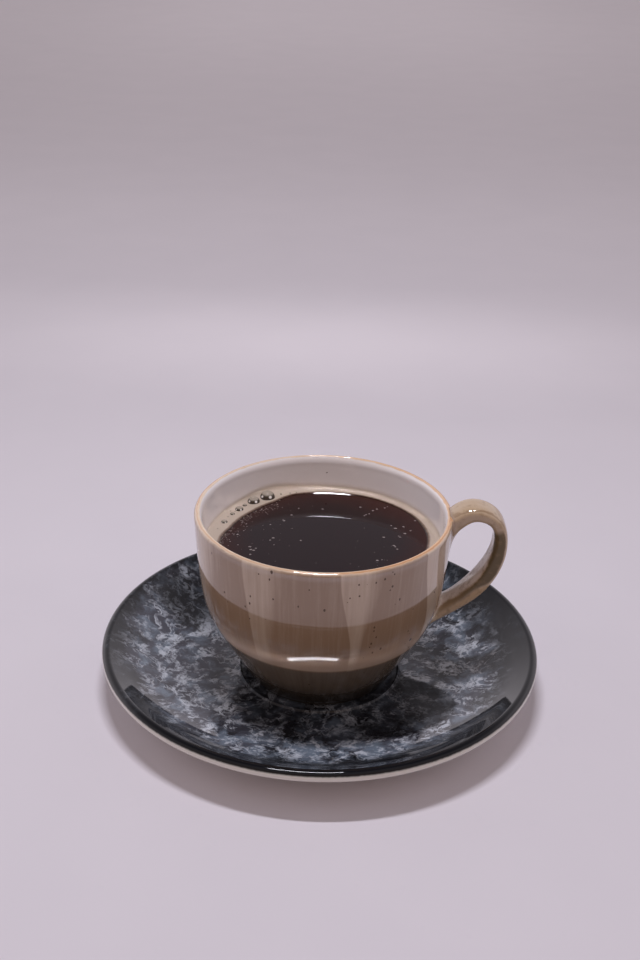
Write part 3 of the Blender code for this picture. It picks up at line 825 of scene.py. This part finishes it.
# Bubbles at the foam's edge, in mm: (x, y, radius)
BUBBLES = [(-21.7, 33.6, 2.55), (-26.7, 29.5, 2.09), (-31.7, 22.7, 1.42), (-29.9, 26.2, 0.78),
           (-34.0, 18.9, 0.89), (-36.5, 12.4, 1.13), (-35.4, 16.6, 0.43), (-38.5, 7.1, 0.43),
           (-16.7, 36.4, 0.53), (-13.2, 37.6, 0.36), (-10.8, 38.3, 0.33), (-18.4, 36.9, 0.36),
           (-33.2, 21.0, 0.36), (-34.9, 21.4, 0.33), (-37.4, 10.1, 0.30)]

# Flecks of foam on the coffee, in mm: (x, y)
FLECKS = [(13.8, 28), (18.5, 25.5), (20, 26.8), (15.8, 22), (15.2, 21.2), (17, 22.8), (23, 28), (24, 29),
          (25, 14), (26.5, 12), (29.5, 13.5), (27.5, 6.2), (28, 5.5), (29.8, 8.3), (22, 5), (25.5, -1),
          (26, -1.8), (26.6, -3.5), (19.3, -12), (21, -11.5), (34, 18.5), (32, 10.5), (-18, 2), (-19, 0.3),
          (-25.5, -7), (-24.5, -7.5), (-23.8, -6), (-25.5, -10.5), (-26, -5), (-17.5, -3), (-8, 0.7),
          (-15, 16), (-14.6, 15.4), (-12, 20), (-9.5, 25.5), (-0.5, 25.5), (-31, 3.8), (-19.5, 12)]


def bubble_material():
    """Bubble as an opaque dome: pale crown and foot and dark tea-brown side, painted light and shade for a
    clear bubble, and two painted glints on the larger ones.
    """
    material, g, shader = new_material("foam_bubble", Roughness=0.03, IOR=1.55)
    cloudy, rim = g.noise(g.millimetres(), 0.9, 2.0, 0.5), g.attribute("rim")
    # Painted light and shade: pale crown and foot and a dark side, for how light passes through a clear
    # bubble
    dome = g.mix(cloudy, (0.24, 0.20, 0.155), (0.46, 0.41, 0.34))
    dome = g.mix(g.step(rim, 0.42, 0.66), dome, (0.042, 0.028, 0.020))
    dome = g.mix(g.step(rim, 0.92, 1.0), dome, (0.40, 0.33, 0.27))
    # Painted glints, set by which way the surface faces
    facing = g.node("ShaderNodeNewGeometry").outputs["Normal"]
    painted_glint = g.most(g.step(g.vector("DISTANCE", facing, (0.42, -0.76, 0.50)), 0.26, 0.14),
                   g.step(g.vector("DISTANCE", facing, (-0.66, -0.60, 0.46)), 0.22, 0.12))
    painted_glint = g.times(painted_glint, g.step(g.attribute("size"), 0.65, 1.1))
    bright = g.mix(cloudy, (0.80, 0.74, 0.68), (0.95, 0.92, 0.90))
    g.feed(shader.inputs["Base Color"], g.mix(painted_glint, dome, bright))
    return material


def build_bubbles():
    """Bubbles in the film: the ones seen, and small ones along its edge at the back left."""
    chance = np.random.default_rng(3)
    small = []
    for _ in range(70):
        angle = math.radians(chance.uniform(112, 186))
        reach = foam_edge(np.array([angle]))[0] / MM + chance.uniform(-1.2, 3.4)
        small.append((reach * math.cos(angle), reach * math.sin(angle), chance.uniform(0.10, 0.24)))
    spots = [(np.array([x * MM, y * MM, COFFEE_LEVEL]), UP, 1.14 * radius * MM, 1.08 * radius * MM, 1.0)
             for x, y, radius in BUBBLES + small]
    vertices, faces, rim = domes(spots, rings=9, around=28)
    size = np.repeat([radius for _, _, radius in BUBBLES + small], len(rim) // len(spots))
    bubbles = make_object("foam_bubbles", vertices, faces, bubble_material(), {"rim": rim, "size": size})
    return place(bubbles, "foam")


def build_flecks():
    """Tiny pale flecks of foam adrift on the coffee: by the film, anywhere, and the ones seen."""
    chance = np.random.default_rng(5)
    points = [(x, y, chance.uniform(0.22, 0.42)) for x, y in FLECKS]
    for _ in range(120):
        angle = math.radians(chance.uniform(118, 188))
        reach = foam_edge(np.array([angle]))[0] / MM - abs(chance.normal(0.0, 2.6)) - 0.2
        points.append((reach * math.cos(angle), reach * math.sin(angle), chance.uniform(0.09, 0.20)))
    for _ in range(60):
        angle, reach = chance.uniform(-math.pi, math.pi), 37 * math.sqrt(chance.uniform(0.02, 0.95))
        points.append((reach * math.cos(angle), reach * math.sin(angle), chance.uniform(0.07, 0.14)))
    spots = [(np.array([x * MM, y * MM, COFFEE_LEVEL - 0.01 * MM]), UP, radius * MM, 0.10 * MM,
              1.0 + 0.6 * math.sin(chance.uniform(0, math.pi))) for x, y, radius in points]
    vertices, faces, _ = domes(spots, rings=2, around=9)
    material, g, shader = new_material("foam_fleck", Roughness=0.3, IOR=1.34)
    grain = g.noise(g.millimetres(), 1.7, 2.0, 0.5)
    g.feed(shader.inputs["Base Color"], g.mix(grain, (0.11, 0.085, 0.08), (0.40, 0.35, 0.34)))
    return place(make_object("foam_flecks", vertices, faces, material), "foam")


def foam_material():
    """Pale beige film, browner and thinner towards its inner edge, with tiny pits."""
    material, g, shader = new_material("coffee_foam", Roughness=0.16, IOR=1.5)
    where = g.millimetres()
    inward = g.attribute("inward")
    wander = g.noise(where, 0.55, 4.0, 0.65)
    thickness = g.plus(inward, g.uneven(wander, 0.9))
    colour = g.mix(g.step(thickness, 0.0, 0.9), (0.020, 0.009, 0.006), (0.20, 0.13, 0.095))
    colour = g.mix(g.step(thickness, 0.5, 1.7), colour, (0.47, 0.39, 0.315))
    cells = g.node("ShaderNodeTexVoronoi")
    g.feed(cells.inputs["Vector"], where)
    cells.inputs["Scale"].default_value = 1.6
    pits = g.times(g.step(cells.outputs["Distance"], 0.16, 0.06), g.step(wander, 0.55, 0.62))
    colour = g.mix(g.times(pits, 0.5), colour, (0.16, 0.11, 0.075))
    colour = g.mix(g.attribute("climb"), colour, (0.53, 0.455, 0.37))
    g.feed(shader.inputs["Roughness"], g.step(inward, 0.7, 1.6, 0.03, 0.50))
    g.feed(shader.inputs["Base Color"], colour)
    return material


# The film's inner edge: a narrow flat that mirrors the lamp, then a roll
FOAM_EDGE_FLAT = 0.30 * MM
FOAM_EDGE_TILT = math.radians(32.5)
FOAM_EDGE_ROLL = 0.93 * MM
FOAM_TURNS = 360
# Its climb starts this many climb heights from the wall; heights above the limit count as the limit
FOAM_CLIMB_START = 1.35
FOAM_CLIMB_LIMIT = 3.2 * MM


def build_foam():
    """The film: a thin ring on the coffee that climbs the wall in a hollow curve."""
    angle = np.arange(FOAM_TURNS) * 2 * math.pi / FOAM_TURNS
    edge, top = foam_edge(angle), film_top(angle)
    wall = wall_radius(top) + 0.05 * MM
    climb_start = wall - FOAM_CLIMB_START * np.minimum(top - COFFEE_LEVEL, FOAM_CLIMB_LIMIT)
    begin = np.maximum(climb_start, edge + 0.3 * MM)
    radii, heights, climb = [], [], []
    for share in np.linspace(0.0, 1.0, 30) ** 1.7:
        past = share * (begin - edge)
        slope = math.tan(FOAM_EDGE_TILT) * np.clip(past, 0.0, FOAM_EDGE_FLAT)
        turned = np.clip(past - FOAM_EDGE_FLAT, 0.0, 0.5 * MM) / FOAM_EDGE_ROLL
        lean = math.sin(FOAM_EDGE_TILT) - turned
        roll = FOAM_EDGE_ROLL * (np.sqrt(1 - lean ** 2) - math.cos(FOAM_EDGE_TILT))
        radii.append(edge + past)
        heights.append(COFFEE_LEVEL + 0.03 * MM + slope + roll - 0.23 * MM * share ** 3)
        climb.append(0 * past)
    for turn in np.linspace(0.0, math.pi / 2, 16)[1:]:
        radii.append(begin + (wall - begin) * math.sin(turn))
        heights.append(COFFEE_LEVEL + 0.17 * MM + (top - COFFEE_LEVEL - 0.14 * MM) * (1 - math.cos(turn)))
        climb.append(smoothstep(0.55, 1.0, (heights[-1] - COFFEE_LEVEL) / (top - COFFEE_LEVEL)))
    radii, heights = np.array(radii), np.array(heights)
    vertices = np.stack([radii * np.cos(angle), radii * np.sin(angle), heights], -1)
    faces = grid_faces(len(radii), FOAM_TURNS)[:, ::-1]
    obj = make_object("foam_film", vertices.reshape(-1, 3), faces, foam_material(),
                      {"inward": ((radii - edge) / MM).ravel(), "climb": np.array(climb).ravel()})
    return place(obj, "foam")


# -------------------- studio
def build_floor():
    """A pale table that runs out to a backdrop kept evenly bright by its own glow, with a painted glow band
    for the lamp's sheen on it.
    """
    material, g, shader = new_material("pale_floor", Roughness=0.7, IOR=1.3)
    where = g.millimetres()
    x, y, _ = g.separate(where)
    grain = g.noise(where, 0.02, 2.0, 0.5)
    g.feed(shader.inputs["Base Color"], g.mix(grain, (0.695, 0.662, 0.71), (0.735, 0.698, 0.745)))
    aside = g.off(x, 0.0)
    far = g.plus(g.step(y, 300.0, 700.0, 0.0, 0.055), g.step(y, 700.0, 1900.0, 0.0, 0.085))
    far = g.times(far, g.step(aside, 120.0, 560.0, 1.0, 0.66))
    # Painted highlight: a glowing band across the backdrop, standing in for the lamp's sheen on it
    painted_light_band = g.times(g.step(g.off(y, 362.0), 120.0, 0.0), g.step(aside, 330.0, 0.0), 0.11)
    g.feed(shader.inputs["Emission Color"], (1.0, 0.90, 0.97))
    g.feed(shader.inputs["Emission Strength"], g.plus(far, painted_light_band))
    size = 4.0
    floor = make_object("floor", [(-size, -size, 0), (size, -size, 0), (size, size, 0), (-size, size, 0)],
                        [(0, 1, 2, 3)], material)


LAMP_PLACE = (-0.032, 0.012, 0.742)
LAMP_SIZE = (0.215, 0.030)
LAMP_POWER = 2.85

# Radiance of the room: (azimuth, at the horizon, half-way up) in degrees and W/m2/sr
ROOM = [(0.0, 0.42, 0.84), (90.0, 0.85, 0.48), (180.0, 1.05, 0.74), (-90.0, 0.10, 0.23)]
# Sine of the heights at which the room's radiance is given: the horizon, half-way up, the ceiling
ROOM_STEP = 0.45


def build_lights():
    """A bright strip overhead, in a pale room with white sides and a dark ceiling."""
    light = bpy.data.lights.new("strip", "AREA")
    light.shape = "RECTANGLE"
    light.size, light.size_y = LAMP_SIZE
    light.energy = LAMP_POWER
    light.color = (0.93, 0.92, 1.0)
    lamp = bpy.data.objects.new("strip", light)
    lamp.location = LAMP_PLACE
    bpy.context.scene.collection.objects.link(lamp)

    world = bpy.data.worlds.new("room")
    world.use_nodes = True
    bpy.context.scene.world = world
    g = Graph(world.node_tree)
    x, y, z = g.separate(g.node("ShaderNodeTexCoord").outputs["Generated"])
    azimuth = g.times(g.math("ARCTAN2", y, x), 180.0 / math.pi)

    def tent(gap, width):
        """1 where the gap is 0, falling evenly to 0 where it is the width."""
        return g.most(g.minus(1.0, g.math("DIVIDE", gap, width)), 0.0)

    def towards(centre):
        """1 at an azimuth, 0 from a quarter turn away."""
        gap = g.off(azimuth, centre)
        return tent(g.math("MINIMUM", gap, g.minus(360.0, gap)), 90.0)

    low, middle, high = [tent(g.off(z, level * ROOM_STEP), ROOM_STEP) for level in (0, 1, 2)]
    total = g.times(high, g.step(y, 0.1, -0.1, 0.03, 0.43))
    for centre, horizon, half_way in ROOM:
        level = g.plus(g.times(low, horizon), g.times(middle, half_way))
        total = g.plus(total, g.times(towards(centre), level))
    opening = g.times(towards(-90.0), g.step(z, 0.95, 0.6))
    background = world.node_tree.nodes["Background"]
    g.feed(background.inputs["Color"], g.mix(opening, (1.0, 0.93, 1.0), (1.0, 0.66, 0.42)))
    g.feed(background.inputs["Strength"], total)


# Where the camera was solved to be: yaw from +Y, pitch down and roll in degrees
CAMERA_PLACE = (0.0, -0.4195, 0.2912)
CAMERA_ANGLES = (-0.23, 26.44, 1.63)


def build_camera():
    """The camera that took the photograph."""
    yaw, pitch, roll = (math.radians(angle) for angle in CAMERA_ANGLES)
    forward = Vector((math.sin(yaw) * math.cos(pitch), math.cos(yaw) * math.cos(pitch), -math.sin(pitch)))
    right = Vector((math.cos(yaw), -math.sin(yaw), 0.0))
    up = right.cross(forward)
    tilted_right = math.cos(roll) * right + math.sin(roll) * up
    tilted_up = -math.sin(roll) * right + math.cos(roll) * up
    data = bpy.data.cameras.new("camera")
    data.lens, data.sensor_width, data.sensor_fit = 50.0, 36.0, "AUTO"
    camera = bpy.data.objects.new("camera", data)
    camera.matrix_world = Matrix.Translation(CAMERA_PLACE) @ Matrix(
        (tilted_right, tilted_up, -forward)).transposed().to_4x4()
    bpy.context.scene.collection.objects.link(camera)
    bpy.context.scene.camera = camera


build_camera()
build_lights()
build_floor()
build_saucer()
build_cup()
build_speckles()
build_coffee()
build_foam()
build_bubbles()
build_flecks()

bpy.context.scene.view_settings.view_transform = "Standard"
bpy.context.scene.cycles.blur_glossy = 0.0
bpy.context.scene.cycles.sample_clamp_indirect = 0.0
